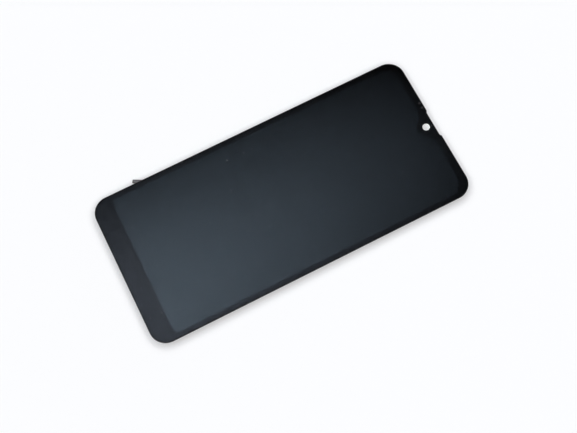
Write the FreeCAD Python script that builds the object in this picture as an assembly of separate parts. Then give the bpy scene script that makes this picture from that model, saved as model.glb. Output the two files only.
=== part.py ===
import FreeCAD, Part
import math
import os

from FreeCAD import Placement, Rotation, Vector

# A phone's LCD screen assembly: cover glass, liquid crystal cell, backlight and flex circuit.
# Millimetres. X runs across the screen and Y along it, with +Y at the earpiece end. +Z is the
# way the picture faces. The origin is the middle of the back tray's outer face.

# Cover glass
glass_width = 72.6
glass_length = 154.8
glass_thickness = 0.7
glass_corner = 7.7
glass_edge_round = 0.45
glass_back_chamfer = 0.12
recess_width = 12.3  # floor of the earpiece recess in the top edge
recess_depth = 0.6
recess_ramp = 0.6
recess_blend = 0.6

# Black print under the glass, and the picture area that it leaves open
print_thickness = 0.02
print_margin = 0.15
side_border = 2.5
top_border = 3.6
chin_border = 9.6
view_chin_corner = 2.75
view_top_corner = 6.0
drop_depth = 4.8
drop_flare = 8.4
camera_edge = 4.2  # glass edge to the middle of the camera window
camera_window = 3.3
sensor_edge = 1.2
sensor_offset = 9.2
sensor_pitch = 2.4
sensor_window = 1.1

# Module body behind the glass
body_side_border = 1.15
body_top_border = 1.65
body_chin_length = 6.8
body_chin_corner = 4.0
body_top_corner = 6.6
notch_radius = 2.75
notch_mouth = 1.0

# Liquid crystal cell
cell_inset = 0.25
cell_glass_thickness = 0.2
cell_gap = 0.02
seal_width = 0.6
polarizer_inset = 0.4
polarizer_thickness = 0.12
adhesive_inset = 0.2
adhesive_thickness = 0.15
ledge_overhang = 0.4
ledge_width = 4.0
ledge_corner_cut = 3.0
chip_length = 24.0
chip_width = 1.0
chip_thickness = 0.17
chip_gap = 0.75
sealant_height = 0.09
sealant_clearance = 0.02

# Backlight
tray_sheet = 0.15
tray_bend = 0.15  # inner radius of the folds
tray_wall_height = 0.78
tray_wall_margin = 1.2  # flat left between a folded wall and a rounded corner
frame_clearance = 0.03
frame_wall = 0.45
frame_lip = 0.3
guide_clearance = 0.05
guide_thickness = 0.4
guide_to_view = 1.9
lug_width = 1.4
lug_depth = 0.22
lug_spread = 112.0
film_clearance = 0.05
film_gap = 0.01
film_to_view = 1.5
reflector_thickness = 0.07
diffuser_thickness = 0.06
prism_film_thickness = 0.08
rim_tape_thickness = 0.06
rim_tape_inner = 0.75
lock_length = 3.0
lock_height = 0.26
lock_depth = 0.12
lock_clearance = 0.04
lock_spacing = 26.0
lock_z = 0.35

# Light source along the chin
led_length = 3.0
led_width = 0.8
led_height = 0.38
led_pitch = 4.4
led_clearance = 0.06
led_window_depth = 0.12
led_window_rim = 0.06
strip_thickness = 0.1
strip_width = 2.9
strip_end = 1.2
led_tail_width = 5.0
led_tail_gap = 6.85  # from the tray's side to the tail
led_tail_reach = 5.6
solder_width = 0.7
solder_length = 0.5
solder_height = 0.14
solder_slope = 0.11

# Flex circuit
flex_thickness = 0.1
flex_side_gap = 13.95  # from the tray's side to the flex, on the connector's side
flex_far_gap = 14.45
bond_width = 1.4
flex_adhesive_thickness = 0.05
adhesive_margin = 2.0
ear_step = 1.6
flex_corner = 1.5
tail_angle = 28.5  # between the tail and -X
tail_width = 6.4
tail_drop = 0.21
tail_bend = 5.0
tail_bend_from_head = 6.5
tail_overlap = 2.0
head_length = 10.5
head_width = 1.7
head_corner = 0.3
head_fillet = 1.2
tab_reach = 2.3  # the head's end past the side of the glass
tab_from_chin = 21.7
stiffener_thickness = 0.15
stiffener_margin = 0.35

# Connector, memory chip and small components on the flex
housing_length = 9.2
housing_width = 1.12
housing_height = 0.6
housing_floor = 0.18
trough_width = 0.44
trough_end = 0.55
contact_pitch = 0.4
contact_width = 0.2
contact_thickness = 0.03
contact_recess = 0.01
foot_length = 0.18
clip_length = 0.35
clip_thickness = 0.05
memory_length = 3.0
memory_width = 2.0
memory_height = 0.5
memory_inset = 10.25  # from the flex's far edge to the chip
capacitor_length = 1.0
capacitor_width = 0.5
capacitor_height = 0.33
capacitor_end = 0.25
capacitor_chamfer = 0.06
capacitor_pitch = 3.4
capacitor_rows = 2
capacitor_row_gap = 2.2
component_line = 4.6  # from the fold to the first row of components
pad_width = 0.9
pad_thickness = 0.02
pad_pitch = 1.6
pad_count = 6
tape_width = 12.0
tape_length = 7.0
tape_thickness = 0.06
tape_inset = 5.25  # from the flex's far edge to the tape
tape_step = 0.8
smallest_round = 0.1

# Places worked out from the sizes above
glass_half = glass_width / 2
glass_end = glass_length / 2
view_half = glass_half - side_border
view_top = glass_end - top_border
view_chin = -glass_end + chin_border
camera_y = glass_end - camera_edge
drop_radius = drop_depth - (view_top - camera_y)
body_half = view_half + body_side_border
body_top = view_top + body_top_border
body_chin = view_chin - body_chin_length
tft_chin = body_chin - ledge_overhang
filter_chin = tft_chin + ledge_width
guide_chin = view_chin - guide_to_view
film_chin = view_chin - film_to_view
led_front = guide_chin - guide_clearance
led_back = led_front - led_width
led_count = int(2 * view_half // led_pitch)
strip_front = guide_chin - guide_clearance
strip_back = strip_front - strip_width

# Insets from the module's outline
frame_inset = tray_sheet + frame_clearance
guide_window = frame_inset + frame_wall
film_window = frame_inset + frame_lip
guide_inset = guide_window + guide_clearance
film_inset = film_window + film_clearance
polarizer_edge = cell_inset + polarizer_inset
adhesive_edge = cell_inset + adhesive_inset

# Heights of the layers, from the back
reflector_z = tray_sheet + film_gap
guide_z = reflector_z + reflector_thickness + film_gap
diffuser_z = guide_z + guide_thickness + film_gap
lower_prism_z = diffuser_z + diffuser_thickness + film_gap
upper_prism_z = lower_prism_z + prism_film_thickness + film_gap
frame_top = upper_prism_z + prism_film_thickness + film_gap
rear_polarizer_z = frame_top + rim_tape_thickness
tft_z = rear_polarizer_z + polarizer_thickness
tft_top = tft_z + cell_glass_thickness
filter_z = tft_top + cell_gap
front_polarizer_z = filter_z + cell_glass_thickness
adhesive_z = front_polarizer_z + polarizer_thickness
print_z = adhesive_z + adhesive_thickness
glass_z = print_z + print_thickness
glass_top = glass_z + glass_thickness
strip_z = guide_z + led_height

# The flex circuit's levels behind the tray
flex_z = -flex_adhesive_thickness - flex_thickness
head_z = flex_z - tail_drop
flex_left = -body_half + flex_side_gap
flex_right = body_half - flex_far_gap
led_tail_x = body_half - led_tail_gap - led_tail_width / 2
fold_y = tft_chin - flex_thickness

# The flex's tail, which leaves the body at an angle and carries the connector head
tail_way = Vector(-math.cos(math.radians(tail_angle)), math.sin(math.radians(tail_angle)), 0)
head_way = Vector(tail_way.y, -tail_way.x, 0)
tab_end = Vector(-glass_half - tab_reach, -glass_end + tab_from_chin, 0)
head_middle = tab_end + head_way * (head_length / 2)
tail_length = (flex_left + tail_overlap - head_middle.x) / -tail_way.x
tail_root = head_middle - tail_way * tail_length
flex_top = tail_root.y + tail_width / 2 / -tail_way.x
head_turn = math.degrees(math.atan2(head_way.y, head_way.x))


def rounded_edges(corners, closed):
    """Lines and tangent arcs through corners given as (x, y, radius)."""
    stops = []
    for i, (x, y, radius) in enumerate(corners):
        here = Vector(x, y, 0)
        if radius == 0 or (not closed and i in (0, len(corners) - 1)):
            stops.append((here, None, here))
            continue
        back = (Vector(*corners[i - 1][:2], 0) - here).normalize()
        ahead = (Vector(*corners[(i + 1) % len(corners)][:2], 0) - here).normalize()
        half_turn = (math.pi - back.getAngle(ahead)) / 2
        reach = radius * math.tan(half_turn)
        middle = here + (back + ahead).normalize() * (radius / math.cos(half_turn) - radius)
        stops.append((here + back * reach, middle, here + ahead * reach))
    edges = []
    for i, (start, middle, end) in enumerate(stops):
        if middle is not None:
            edges.append(Part.Arc(start, middle, end).toShape())
        if i + 1 < len(stops) or closed:
            following = stops[(i + 1) % len(stops)][0]
            if end.distanceToPoint(following) > 1e-5:
                edges.append(Part.LineSegment(end, following).toShape())
    return edges


def plate(corners, z, thickness):
    """A flat plate of the outline through the corners."""
    wire = Part.Wire(rounded_edges(corners, closed=True))
    wire.translate(Vector(0, 0, z))
    return Part.Face(wire).extrude(Vector(0, 0, thickness))


def ring(outer, inner, z, thickness):
    return plate(outer, z, thickness).cut(plate(inner, z, thickness))


def block(low_x, high_x, low_y, high_y, low_z, high_z):
    corner = Vector(low_x, low_y, low_z)
    return Part.makeBox(high_x - low_x, high_y - low_y, high_z - low_z, corner)


def disc(x, y, diameter, z, thickness):
    return Part.makeCylinder(diameter / 2, thickness, Vector(x, y, z))


def rectangle(half_x, half_y, radius):
    """Corners of a rectangle about the origin."""
    signs = ((-1, -1), (1, -1), (1, 1), (-1, 1))
    return [(sx * half_x, sy * half_y, radius) for sx, sy in signs]


def strip_corners(route, thickness):
    """The outline of a strip of even thickness whose middle follows the route's (a, b, radius)."""
    points = [Vector(a, b, 0) for a, b, radius in route]
    ways = [(end - start).normalize() for start, end in zip(points, points[1:])]
    left, right = [], []
    for i, point in enumerate(points):
        before, after = ways[max(i - 1, 0)], ways[min(i, len(ways) - 1)]
        mitre = Vector(-before.y - after.y, before.x + after.x, 0).normalize()
        reach = thickness / 2 / mitre.dot(Vector(-after.y, after.x, 0))
        turn = before.cross(after).z
        radius = route[i][2]
        bend = 0 if radius == 0 else math.copysign(thickness / 2, turn)
        outer, inner = point + mitre * reach, point - mitre * reach
        left.append((outer.x, outer.y, radius - bend if radius else 0))
        right.append((inner.x, inner.y, radius + bend if radius else 0))
    return left + right[::-1]


def fold(route, thickness, low_x, high_x):
    """A strip folded in the plane of Y and Z along its route, from low_x to high_x."""
    face = Part.Face(Part.Wire(rounded_edges(strip_corners(route, thickness), closed=True)))
    face.Placement = Placement(Vector(low_x, 0, 0), Rotation(Vector(1, 1, 1), 120))
    return face.extrude(Vector(high_x - low_x, 0, 0))


def in_head_frame(shape):
    """Moves a shape drawn along X about the origin onto the connector head."""
    shape.Placement = Placement(head_middle, Rotation(Vector(0, 0, 1), head_turn))
    return shape.copy()


def edges_at(shape, z):
    """The shape's edges that lie wholly at the height z."""
    return [e for e in shape.Edges if all(abs(v.Z - z) < 1e-6 for v in e.Vertexes)]


def glass_corners(inset):
    """The glass's outline with the earpiece recess, drawn in by inset all round."""
    half, end = glass_half - inset, glass_end - inset
    corner = glass_corner - inset
    shift = inset * math.tan(math.atan2(recess_depth, recess_ramp) / 2)
    floor = recess_width / 2 + shift
    mouth = floor + recess_ramp
    low = end - recess_depth
    return [
        (-half, -end, corner),
        (half, -end, corner),
        (half, end, corner),
        (mouth, end, recess_blend),
        (floor, low, recess_blend),
        (-floor, low, recess_blend),
        (-mouth, end, recess_blend),
        (-half, end, corner),
    ]


def module_corners(inset, chin=None):
    """The module's outline with its camera notch, drawn in by inset, or ending at chin."""
    half, top = body_half - inset, body_top - inset
    low = body_chin + inset if chin is None else chin
    notch = notch_radius + inset
    mouth = max(notch_mouth - inset, smallest_round)
    chin_round = body_chin_corner - inset if chin is None else 0
    return [
        (-half, low, chin_round),
        (half, low, chin_round),
        (half, top, body_top_corner - inset),
        (notch, top, mouth),
        (notch, camera_y - notch, notch),
        (-notch, camera_y - notch, notch),
        (-notch, top, mouth),
        (-half, top, body_top_corner - inset),
    ]


def arc_about(centre, start, end):
    """The arc of under half a turn about centre."""
    bulge = ((start - centre) + (end - centre)).normalize() * (start - centre).Length
    return Part.Arc(start, centre + bulge, end).toShape()


def view_field(z, thickness):
    """The picture area: round corners, and a drop at the top that leaves the camera clear."""
    shoulder = view_top - drop_flare
    flare_x = math.sqrt((drop_radius + drop_flare) ** 2 - (camera_y - shoulder) ** 2)
    drop_middle = Vector(0, camera_y, 0)
    sides = []
    for side in (1, -1):
        flare_middle = Vector(side * flare_x, shoulder, 0)
        share = drop_radius / (drop_radius + drop_flare)
        meeting = drop_middle + (flare_middle - drop_middle) * share
        sides.append((flare_middle, Vector(side * flare_x, view_top, 0), meeting))
    right, left = sides
    edges = rounded_edges(
        [
            (-flare_x, view_top, 0),
            (-view_half, view_top, view_top_corner),
            (-view_half, view_chin, view_chin_corner),
            (view_half, view_chin, view_chin_corner),
            (view_half, view_top, view_top_corner),
            (flare_x, view_top, 0),
        ],
        closed=False,
    )
    edges.append(arc_about(right[0], right[1], right[2]))
    edges.append(arc_about(drop_middle, right[2], left[2]))
    edges.append(arc_about(left[0], left[2], left[1]))
    wire = Part.Wire(edges)
    wire.translate(Vector(0, 0, z))
    return Part.Face(wire).extrude(Vector(0, 0, thickness))


def cover_glass():
    """The glass that is touched: rounded front edge, small chamfer behind, earpiece recess."""
    glass = plate(glass_corners(0), glass_z, glass_thickness)
    glass = glass.makeFillet(glass_edge_round, edges_at(glass, glass_top))
    return glass.makeChamfer(glass_back_chamfer, edges_at(glass, glass_z))


def sensor_places():
    return [(-sensor_offset - i * sensor_pitch, glass_end - sensor_edge) for i in range(2)]


def border_print():
    """Black ink on the back of the glass, open at the picture, the camera and the sensors."""
    ink = plate(glass_corners(print_margin), print_z, print_thickness)
    ink = ink.cut(view_field(print_z, print_thickness))
    ink = ink.cut(disc(0, camera_y, camera_window, print_z, print_thickness))
    for x, y in sensor_places():
        ink = ink.cut(disc(x, y, sensor_window, print_z, print_thickness))
    return ink


def sensor_window_print():
    """Dark see-through ink in the two sensor openings of the border print."""
    spots = [disc(x, y, sensor_window, print_z, print_thickness) for x, y in sensor_places()]
    return Part.makeCompound(spots)


def optical_adhesive():
    """Clear glue between cell and glass, which also fills the step of the border print."""
    corners = module_corners(adhesive_edge, filter_chin + adhesive_inset)
    glue = plate(corners, adhesive_z, adhesive_thickness)
    return glue.fuse(view_field(print_z, print_thickness)).removeSplitter()


def front_polarizer():
    corners = module_corners(polarizer_edge, filter_chin + polarizer_inset)
    return plate(corners, front_polarizer_z, polarizer_thickness)


def colour_filter_glass():
    return plate(module_corners(cell_inset, filter_chin), filter_z, cell_glass_thickness)


def cell_corners(extra):
    return module_corners(cell_inset + extra, filter_chin + extra)


def cell_seal():
    """The bead that joins the cell's two glasses round their edge and round the notch."""
    return ring(cell_corners(0), cell_corners(seal_width), tft_top, cell_gap)


def liquid_crystal():
    return plate(cell_corners(seal_width), tft_top, cell_gap)


def tft_glass():
    """The cell's lower glass, longer at the chin so that the chip and the flex have a ledge."""
    half = body_half - cell_inset
    corners = module_corners(cell_inset)[2:]
    corners += [
        (-half, tft_chin + ledge_corner_cut, 0),
        (-half + ledge_corner_cut, tft_chin, 0),
        (half - ledge_corner_cut, tft_chin, 0),
        (half, tft_chin + ledge_corner_cut, 0),
    ]
    return plate(corners, tft_z, cell_glass_thickness)


def driver_chip():
    """The bare chip bonded on the ledge, beside the colour filter glass."""
    high = filter_chin - chip_gap
    half = chip_length / 2
    return block(-half, half, high - chip_width, high, tft_top, tft_top + chip_thickness)


def ledge_sealant():
    """Cured resin on the ledge: one bead each side of the chip."""
    chip_high = filter_chin - chip_gap
    chip_low = chip_high - chip_width
    top = tft_top + sealant_height
    beads = []
    for low, high in ((tft_chin + bond_width, chip_low), (chip_high, filter_chin)):
        low, high = low + sealant_clearance, high - sealant_clearance
        bead = block(flex_left, flex_right, low, high, tft_top, top)
        beads.append(bead.makeFillet(sealant_height / 2, edges_at(bead, top)))
    return Part.makeCompound(beads)


def rear_polarizer():
    corners = module_corners(polarizer_edge, filter_chin + polarizer_inset)
    return plate(corners, rear_polarizer_z, polarizer_thickness)


def rim_tape():
    """Black tape that holds the cell on the frame and hides the films' edges."""
    outer = module_corners(frame_inset)
    inner = module_corners(body_side_border - rim_tape_inner / 2, view_chin - rim_tape_inner)
    return ring(outer, inner, frame_top, rim_tape_thickness)


def film(z, thickness):
    return plate(module_corners(film_inset, film_chin), z, thickness)


def side_lugs(extra, z, thickness):
    """The light guide's lugs, or with extra their sockets in the frame."""
    lugs = []
    half_y = lug_width / 2 + extra
    side = body_half - guide_inset
    for y in (-lug_spread / 2, lug_spread / 2):
        for low, high in ((-side - lug_depth - extra, -side), (side, side + lug_depth + extra)):
            lugs.append(block(low, high, y - half_y, y + half_y, z, z + thickness))
    return lugs


def light_guide():
    """The clear plate that spreads the light, with lugs that key it into the frame."""
    guide = plate(module_corners(guide_inset, guide_chin), guide_z, guide_thickness)
    return guide.multiFuse(side_lugs(0, guide_z, guide_thickness)).removeSplitter()


def reflector_film():
    corners = module_corners(guide_inset, guide_chin)
    return plate(corners, reflector_z, reflector_thickness)


def led_middles():
    start = -(led_count - 1) * led_pitch / 2
    return [start + i * led_pitch for i in range(led_count)]


def lock_places():
    """Where the frame's catches lie along each long side."""
    low = body_chin + body_chin_corner + tray_wall_margin + lock_length
    high = body_top - body_top_corner - tray_wall_margin - lock_length
    count = int((high - low) // lock_spacing)
    middle = (low + high) / 2
    return [middle + (i - count / 2) * lock_spacing for i in range(count + 1)]


def locks(extra, reach):
    """The frame's catches, or with extra the tray's windows for them."""
    found = []
    half = lock_length / 2 + extra
    low_z, high_z = lock_z - extra, lock_z + lock_height + extra
    inner = body_half - frame_inset - smallest_round
    for y in lock_places():
        for low, high in ((-reach, -inner), (inner, reach)):
            found.append(block(low, high, y - half, y + half, low_z, high_z))
    return found


def plastic_frame():
    """The moulded frame: a step for the films, LED pockets, lug sockets and catches."""
    frame = plate(module_corners(frame_inset), tray_sheet, frame_top - tray_sheet)
    frame = frame.makeChamfer(tray_bend, edges_at(frame, tray_sheet))
    window = module_corners(guide_window, guide_chin - guide_clearance)
    frame = frame.cut(plate(window, tray_sheet, frame_top))
    window = module_corners(film_window, film_chin - film_clearance)
    frame = frame.cut(plate(window, diffuser_z - film_gap, frame_top))
    cuts = side_lugs(guide_clearance, tray_sheet, diffuser_z - film_gap - tray_sheet)
    for x in led_middles():
        half = led_length / 2 + led_clearance
        low, high = led_back - led_clearance, guide_chin
        cuts.append(block(x - half, x + half, low, high, tray_sheet, strip_z))
    half = strip_half_length() + led_clearance
    low = strip_back - led_clearance
    cuts.append(block(-half, half, low, film_chin, strip_z, frame_top))
    half = led_tail_width / 2 + led_clearance
    low_x, high_x = led_tail_x - half, led_tail_x + half
    cuts.append(block(low_x, high_x, body_chin, strip_front, strip_z, frame_top))
    frame = frame.cut(cuts)
    catch_face = body_half - tray_sheet + lock_depth
    return frame.multiFuse(locks(0, catch_face)).removeSplitter()


def folded_wall(face, turn, start, end):
    """A wall folded up at the edge of the tray. It is drawn with its outer face at x = face and
    turned about Z by turn degrees, and it runs from start to end."""
    bend = tray_bend + tray_sheet
    corners = [
        (face - bend, 0, 0),
        (face, 0, bend),
        (face, tray_wall_height, 0),
        (face - tray_sheet, tray_wall_height, 0),
        (face - tray_sheet, tray_sheet, tray_bend),
        (face - bend, tray_sheet, 0),
    ]
    section = Part.Face(Part.Wire(rounded_edges(corners, closed=True)))
    section.rotate(Vector(0, 0, 0), Vector(1, 0, 0), 90)
    section.translate(Vector(0, start, 0))
    wall = section.extrude(Vector(0, end - start, 0))
    wall.rotate(Vector(0, 0, 0), Vector(0, 0, 1), turn)
    return wall


def back_tray():
    """Folded steel sheet: walls along the straight sides, open corners, windows for the catches."""
    bend = tray_bend + tray_sheet
    tray = plate(module_corners(bend), 0, tray_sheet)
    low = body_chin + body_chin_corner + tray_wall_margin
    high = body_top - body_top_corner - tray_wall_margin
    inner = notch_radius + notch_mouth + tray_wall_margin
    outer = body_half - body_top_corner - tray_wall_margin
    chin_outer = body_half - body_chin_corner - tray_wall_margin
    slot = led_tail_width / 2 + tray_wall_margin / 2
    walls = [folded_wall(body_half, 0, low, high), folded_wall(body_half, 180, -high, -low)]
    walls += [folded_wall(body_top, 90, -outer, -inner), folded_wall(body_top, 90, inner, outer)]
    walls.append(folded_wall(-body_chin, -90, -chin_outer, led_tail_x - slot))
    if chin_outer > led_tail_x + slot:
        walls.append(folded_wall(-body_chin, -90, led_tail_x + slot, chin_outer))
    tray = tray.multiFuse(walls).removeSplitter()
    return tray.cut(locks(lock_clearance, body_half + tray_sheet))


def strip_half_length():
    return led_middles()[-1] + led_length / 2 + strip_end


def led_strip_flex():
    """The strip that carries the LEDs. Its tail folds round the tray's end to the back."""
    half = strip_half_length()
    strip = block(-half, half, strip_back, strip_front, strip_z, strip_z + strip_thickness)
    middle = strip_z + strip_thickness / 2
    lower = flex_z - strip_thickness / 2
    bend = (middle - lower) / 2
    fold_at = body_chin - ledge_overhang - bend
    route = [
        (strip_back + strip_width / 2, middle, 0),
        (fold_at, middle, bend),
        (fold_at, lower, bend),
        (led_tail_end(), lower, 0),
    ]
    half = led_tail_width / 2
    tail = fold(route, strip_thickness, led_tail_x - half, led_tail_x + half)
    return strip.fuse(tail).removeSplitter()


def led_tail_end():
    return tft_chin + led_tail_reach


def backlight_leds():
    """Side-firing LEDs under the strip, each with a sunk window that faces the light guide."""
    leds = []
    rim = led_window_rim
    for x in led_middles():
        low_x, high_x = x - led_length / 2, x + led_length / 2
        led = block(low_x, high_x, led_back, led_front, guide_z, strip_z)
        window = (low_x + 3 * rim, high_x - 3 * rim, led_front - led_window_depth, led_front)
        leds.append(led.cut(block(*window, guide_z + rim, strip_z - rim)))
    return Part.makeCompound(leds)


def led_solder():
    """Solder at the end of the LED tail, on the pads of the main flex."""
    joints = []
    start = led_tail_end()
    pitch = (led_tail_width - solder_width) / 3
    for i in range(4):
        x = led_tail_x - led_tail_width / 2 + solder_width / 2 + i * pitch
        low_x, high_x = x - solder_width / 2, x + solder_width / 2
        joint = block(low_x, high_x, start, start + solder_length, flex_z - solder_height, flex_z)
        far = [e for e in edges_at(joint, flex_z - solder_height) if e.BoundBox.YMin > start + 1e-6]
        joints.append(joint.makeChamfer(solder_slope, far))
    return Part.makeCompound(joints)


def flex_tail():
    """The tail, which steps down before the head and ends under it."""
    middle = flex_z + flex_thickness / 2
    low = middle - tail_drop
    bend_end = tail_length - tail_bend_from_head
    slope = math.sqrt(4 * tail_bend * tail_drop - tail_drop**2) / 2
    route = [
        (-tail_overlap, middle, 0),
        (bend_end - slope, middle, tail_bend),
        (bend_end, low, tail_bend),
        (tail_length + head_width / 2 - head_corner, low, 0),
    ]
    face = Part.Face(Part.Wire(rounded_edges(strip_corners(route, flex_thickness), closed=True)))
    face.rotate(Vector(0, 0, 0), Vector(1, 0, 0), 90)
    face.translate(Vector(0, tail_width / 2, 0))
    tail = face.extrude(Vector(0, -tail_width, 0))
    tail.Placement = Placement(tail_root, Rotation(Vector(0, 0, 1), 180 - tail_angle))
    return tail.copy()


def flex_head():
    """The plate under the connector, with a fillet each side where the tail joins it."""
    head = plate(rectangle(head_length / 2, head_width / 2, head_corner), head_z, flex_thickness)
    near, far = tail_width / 2, tail_width / 2 + head_fillet
    back = -head_width / 2
    root = [
        (-far, back, 0),
        (-near, back, head_fillet),
        (-near, back - head_fillet, 0),
        (near, back - head_fillet, 0),
        (near, back, head_fillet),
        (far, back, 0),
    ]
    return in_head_frame(head.fuse(plate(root, head_z, flex_thickness)))


def main_flex():
    """The flex circuit: bonded on the ledge, folded round the chin end and glued to the back."""
    upper = tft_top + flex_thickness / 2
    lower = flex_z + flex_thickness / 2
    bend = (upper - lower) / 2
    route = [
        (tft_chin + bond_width, upper, 0),
        (fold_y - bend, upper, bend),
        (fold_y - bend, lower, bend),
        (body_chin + bond_width, lower, 0),
    ]
    loop = fold(route, flex_thickness, flex_left, flex_right)
    ear_right = led_tail_x + led_tail_width / 2 + ear_step
    ear_low = body_chin + ear_step
    ear_high = led_tail_end() + ear_step + solder_length
    body = [
        (flex_left, fold_y, 0),
        (flex_right, fold_y, 0),
        (flex_right, ear_low, flex_corner / 2),
        (ear_right, ear_low, flex_corner / 2),
        (ear_right, ear_high, flex_corner / 2),
        (flex_right, ear_high, flex_corner / 2),
        (flex_right, flex_top, flex_corner),
        (flex_left, flex_top, flex_corner),
    ]
    body = plate(body, flex_z, flex_thickness)
    return loop.multiFuse([body, flex_tail(), flex_head()]).removeSplitter()


def flex_adhesive():
    """The glue pad that holds the flex's body on the tray."""
    low, high = body_chin + adhesive_margin, flex_top - adhesive_margin
    left, right = flex_left + adhesive_margin, flex_right - adhesive_margin
    return block(left, right, low, high, -flex_adhesive_thickness, 0)


def connector_stiffener():
    """The steel plate on the head's other side. The flex shows as a dark margin round it."""
    half_x = head_length / 2 - stiffener_margin
    half_y = head_width / 2 - stiffener_margin
    corners = rectangle(half_x, half_y, max(head_corner - stiffener_margin, smallest_round))
    return in_head_frame(plate(corners, head_z + flex_thickness, stiffener_thickness))


def contact_places():
    count = int((housing_length - 2 * trough_end - 2 * clip_length) // contact_pitch)
    return [(i - (count - 1) / 2) * contact_pitch for i in range(count)]


def connector_housing():
    """The moulded body: two long ridges with a trough between them, stepped in for the contacts."""
    low = head_z - housing_height
    half_x, half_y = housing_length / 2, housing_width / 2
    body = plate(rectangle(half_x, half_y, smallest_round), low, housing_height)
    trough = rectangle(half_x - trough_end, trough_width / 2, 0)
    cuts = [plate(trough, low, housing_height - housing_floor)]
    row = contact_places()[-1] + contact_pitch / 2
    step = contact_recess + contact_thickness
    for side in (-1, 1):
        near, far = sorted((side * (half_y - step), side * half_y))
        cuts.append(block(-row, row, near, far, low, head_z))
    cuts.append(block(-row, row, -half_y, half_y, low, low + step))
    return in_head_frame(body.cut(cuts))


def connector_contacts():
    """Gold-plated straps over both ridges, each with a foot soldered to the flex."""
    face = housing_width / 2 - contact_recess - contact_thickness / 2
    inner = trough_width / 2 - contact_thickness / 2
    low = head_z - housing_height + contact_recess + contact_thickness / 2
    high = head_z - contact_thickness / 2
    end = head_z - housing_floor - contact_thickness
    straps = []
    for x in contact_places():
        for side in (-1, 1):
            route = [
                (side * (face + foot_length), high, 0),
                (side * face, high, 0),
                (side * face, low, 0),
                (side * inner, low, 0),
                (side * inner, end, 0),
            ]
            width = contact_width / 2
            straps.append(fold(route, contact_thickness, x - width, x + width))
    return in_head_frame(Part.makeCompound(straps))


def connector_clips():
    """Solder clips on the housing's two ends, which anchor it to the flex."""
    clips = []
    face = housing_length / 2
    for side in (-1, 1):
        half = housing_width / 2 - smallest_round
        near, far = sorted((side * face, side * (face + clip_thickness)))
        clip = block(near, far, -half, half, head_z - housing_height / 2, head_z)
        near, far = sorted((side * face, side * (face + clip_length)))
        clip = clip.fuse(block(near, far, -half, half, head_z - clip_thickness, head_z))
        clips.append(clip.removeSplitter())
    return in_head_frame(Part.makeCompound(clips))


def memory_chip():
    """The small memory package that holds the panel's settings."""
    x = flex_right - memory_inset - memory_length / 2
    y = body_chin + component_line + capacitor_rows * capacitor_row_gap
    half = memory_length / 2
    low, high = y, y + memory_width
    chip = block(x - half, x + half, low, high, flex_z - memory_height, flex_z)
    return chip.makeChamfer(smallest_round / 2, edges_at(chip, flex_z - memory_height))


def capacitor_places():
    """Rows of small capacitors across the flex, left of the LED tail."""
    left = flex_left + adhesive_margin + capacitor_length
    count = int((flex_right - adhesive_margin - left) // capacitor_pitch)
    places = []
    for row in range(capacitor_rows):
        y = body_chin + component_line + row * capacitor_row_gap
        offset = capacitor_pitch / 2 * (row % 2)
        places += [(left + offset + i * capacitor_pitch, y) for i in range(count - row % 2)]
    return places


def capacitor_bodies():
    bodies = []
    inner = capacitor_length / 2 - capacitor_end
    half = capacitor_width / 2
    for x, y in capacitor_places():
        low = flex_z - capacitor_height
        bodies.append(block(x - inner, x + inner, y - half, y + half, low, flex_z))
    return Part.makeCompound(bodies)


def capacitor_ends():
    """Tinned caps at both ends of each capacitor, with the outer edges eased."""
    ends = []
    half = capacitor_width / 2
    inner = capacitor_length / 2 - capacitor_end
    for x, y in capacitor_places():
        for side in (-1, 1):
            near, far = sorted((x + side * inner, x + side * (inner + capacitor_end)))
            low = flex_z - capacitor_height
            end = block(near, far, y - half, y + half, low, flex_z)
            outer = [
                e for e in edges_at(end, low)
                if abs(e.CenterOfMass.x - (x + side * capacitor_length / 2)) < 1e-6
            ]
            ends.append(end.makeChamfer(capacitor_chamfer, outer))
    return Part.makeCompound(ends)


def test_pads():
    """Square gold-plated pads where the panel is tested before assembly."""
    left = flex_left + adhesive_margin
    high = flex_top - adhesive_margin
    pads = []
    for i in range(pad_count):
        x = left + i * pad_pitch
        low = high - pad_width
        pads.append(block(x, x + pad_width, low, high, flex_z - pad_thickness, flex_z))
    return Part.makeCompound(pads)


def ground_tape():
    """Conductive cloth tape that grounds the flex to the tray, stepped over the flex's edge."""
    on_flex = flex_z - tape_thickness / 2
    on_tray = -tape_thickness / 2
    route = [
        (flex_top - tape_length / 2, on_flex, 0),
        (flex_top + tape_thickness, on_flex, tape_thickness),
        (flex_top + tape_step, on_tray, tape_thickness),
        (flex_top + tape_length / 2, on_tray, 0),
    ]
    high_x = flex_right - tape_inset
    return fold(route, tape_thickness, high_x - tape_width, high_x)


def deliver(node, shape):
    """Writes a node's solid or group of solids."""
    if shape.ShapeType == "Compound" and len(shape.Solids) == 1:
        shape = shape.Solids[0]
    if not shape.isValid() or not shape.Solids:
        raise ValueError(f"{node} isn't a valid solid")
    shape.exportStep(os.path.join("parts", f"{node}.step"))


def main():
    os.makedirs("parts", exist_ok=True)
    makers = (
        cover_glass,
        border_print,
        sensor_window_print,
        optical_adhesive,
        front_polarizer,
        colour_filter_glass,
        cell_seal,
        liquid_crystal,
        tft_glass,
        driver_chip,
        ledge_sealant,
        rear_polarizer,
        rim_tape,
        light_guide,
        reflector_film,
        plastic_frame,
        back_tray,
        led_strip_flex,
        backlight_leds,
        led_solder,
        main_flex,
        flex_adhesive,
        connector_stiffener,
        connector_housing,
        connector_contacts,
        connector_clips,
        memory_chip,
        capacitor_bodies,
        capacitor_ends,
        test_pads,
        ground_tape,
    )
    for maker in makers:
        deliver(maker.__name__, maker())
    deliver("upper_prism_film", film(upper_prism_z, prism_film_thickness))
    deliver("lower_prism_film", film(lower_prism_z, prism_film_thickness))
    deliver("diffuser_film", film(diffuser_z, diffuser_thickness))


main()
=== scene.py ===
import math

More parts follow.
